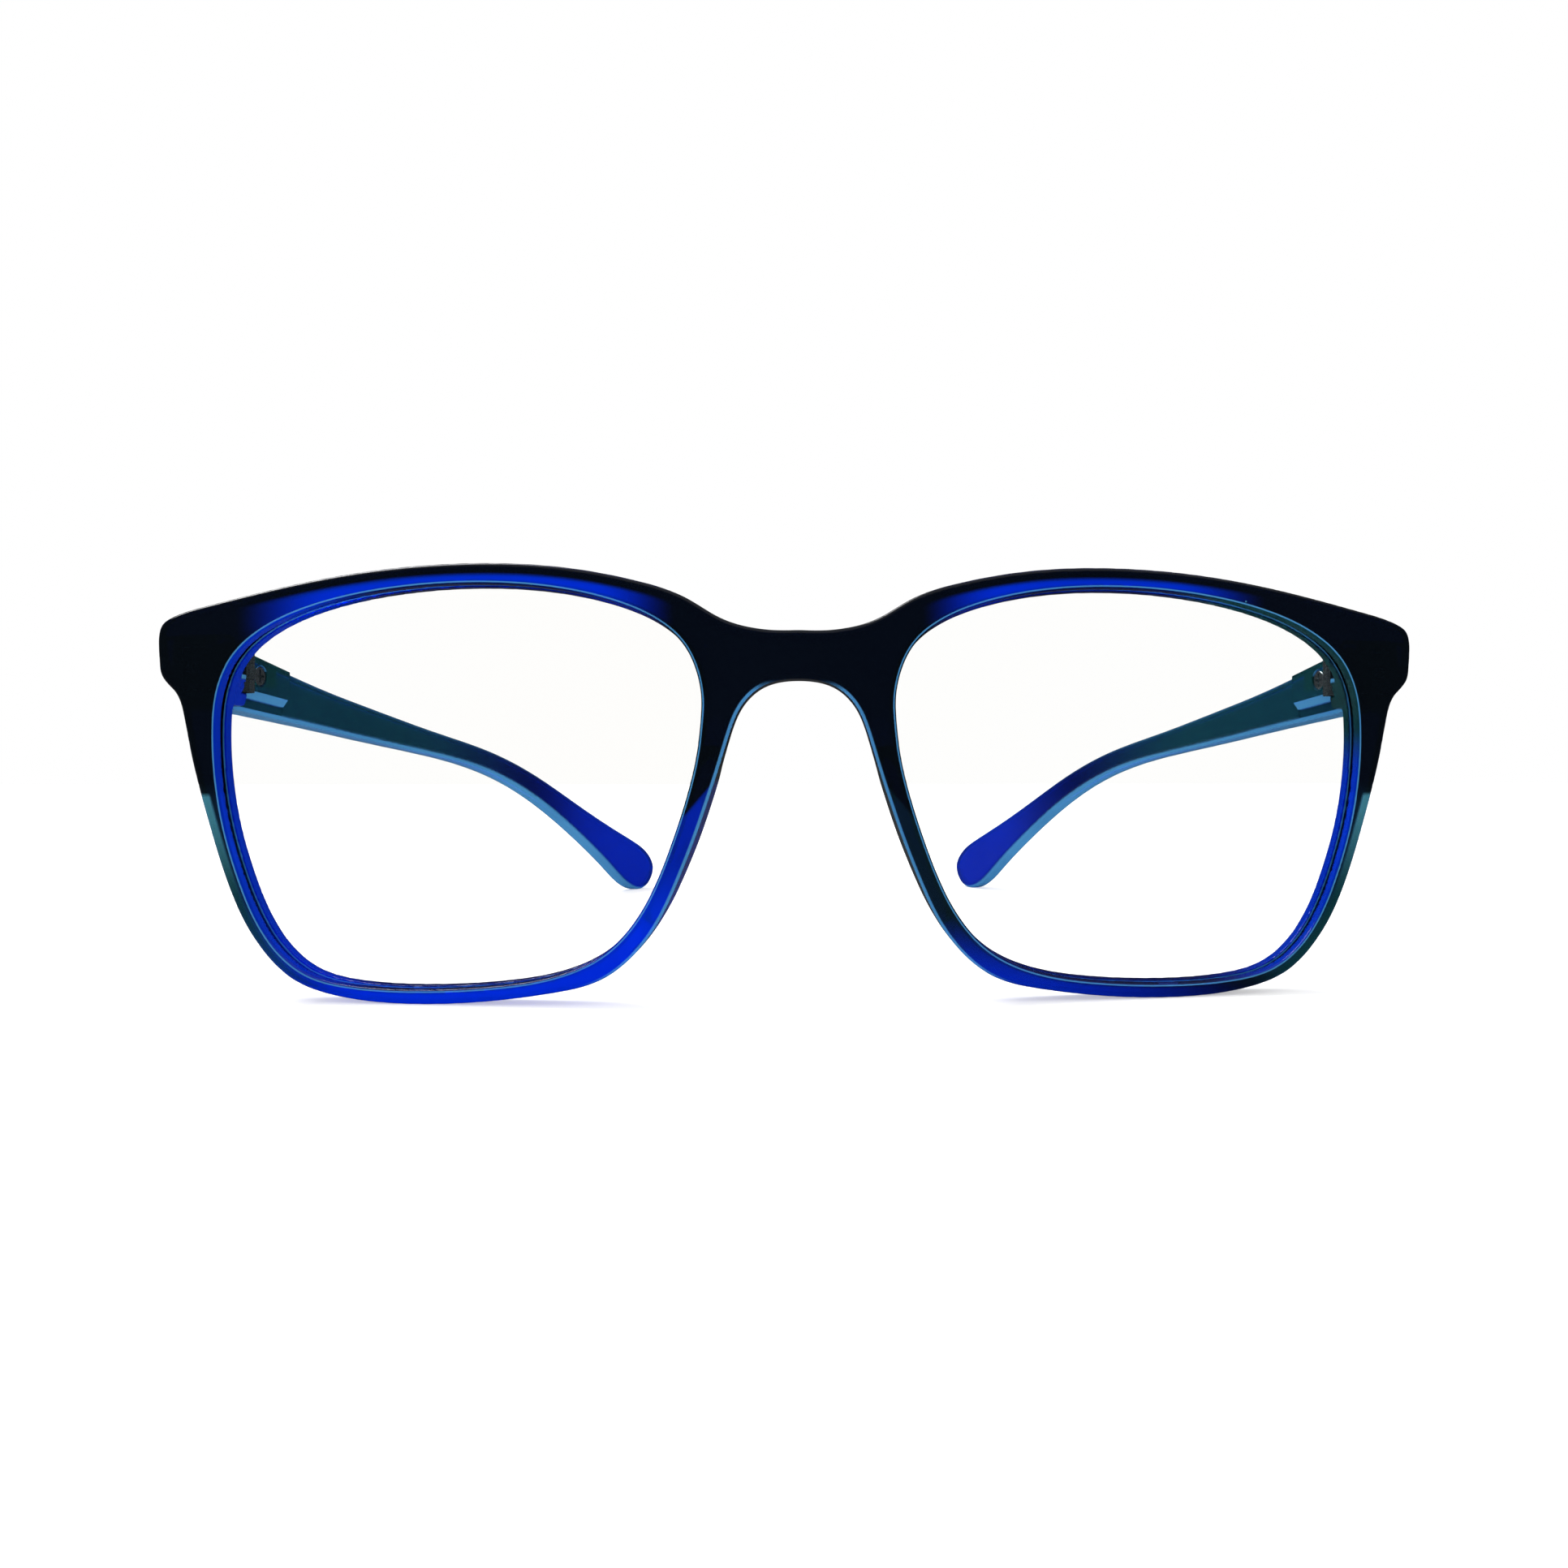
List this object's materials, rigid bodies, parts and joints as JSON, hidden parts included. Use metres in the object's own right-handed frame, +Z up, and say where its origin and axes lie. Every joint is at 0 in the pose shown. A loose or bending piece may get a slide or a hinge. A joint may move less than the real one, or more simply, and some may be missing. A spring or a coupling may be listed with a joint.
{
  "type": "blue light glasses",
  "caption": "Full-rim rounded-square glasses with clear curved lenses, moulded nose pads and folding temples on screw hinges, in translucent deep blue plastic.",
  "frame": {"origin": "under the middle of the glasses, at half their depth, on the surface that the rims and the temple tips stand on", "axes": "+Z up, +X towards the wearer's left temple, the front faces -Y and the temples run towards +Y"},
  "size_m": [0.14, 0.1458, 0.047],
  "materials": {
    "frame_plastic": "polished translucent deep blue moulding",
    "lens": "clear, with an anti-reflection and blue-filter coating",
    "hinge_metal": "fine brushed nickel silver",
    "screw_steel": "polished stainless steel"
  },
  "bodies": {
    "front": {"front_frame": "frame_plastic", "lens_left": "lens", "lens_right": "lens", "front_hinge_leaf_left": "hinge_metal", "front_hinge_leaf_right": "hinge_metal", "pivot_screw_left": "screw_steel", "pivot_screw_right": "screw_steel", "front_leaf_screw_left": "screw_steel", "front_leaf_screw_right": "screw_steel"},
    "temple_left": {"temple_left": "frame_plastic", "temple_hinge_leaf_left": "hinge_metal", "temple_leaf_screw_left": "screw_steel"},
    "temple_right": {"temple_right": "frame_plastic", "temple_hinge_leaf_right": "hinge_metal", "temple_leaf_screw_right": "screw_steel"}
  },
  "joints": [
    {"name": "temple_fold_left", "type": "hinge", "parent": "front", "child": "temple_left", "pos_m": [0.0632, -0.0585, 0.0362], "axis": [0, 0, 1], "range_deg": [-10.5, 77.5]},
    {"name": "temple_fold_right", "type": "hinge", "parent": "front", "child": "temple_right", "pos_m": [-0.0632, -0.0585, 0.0362], "axis": [0, 0, -1], "range_deg": [-10.5, 72.5]}
  ]
}
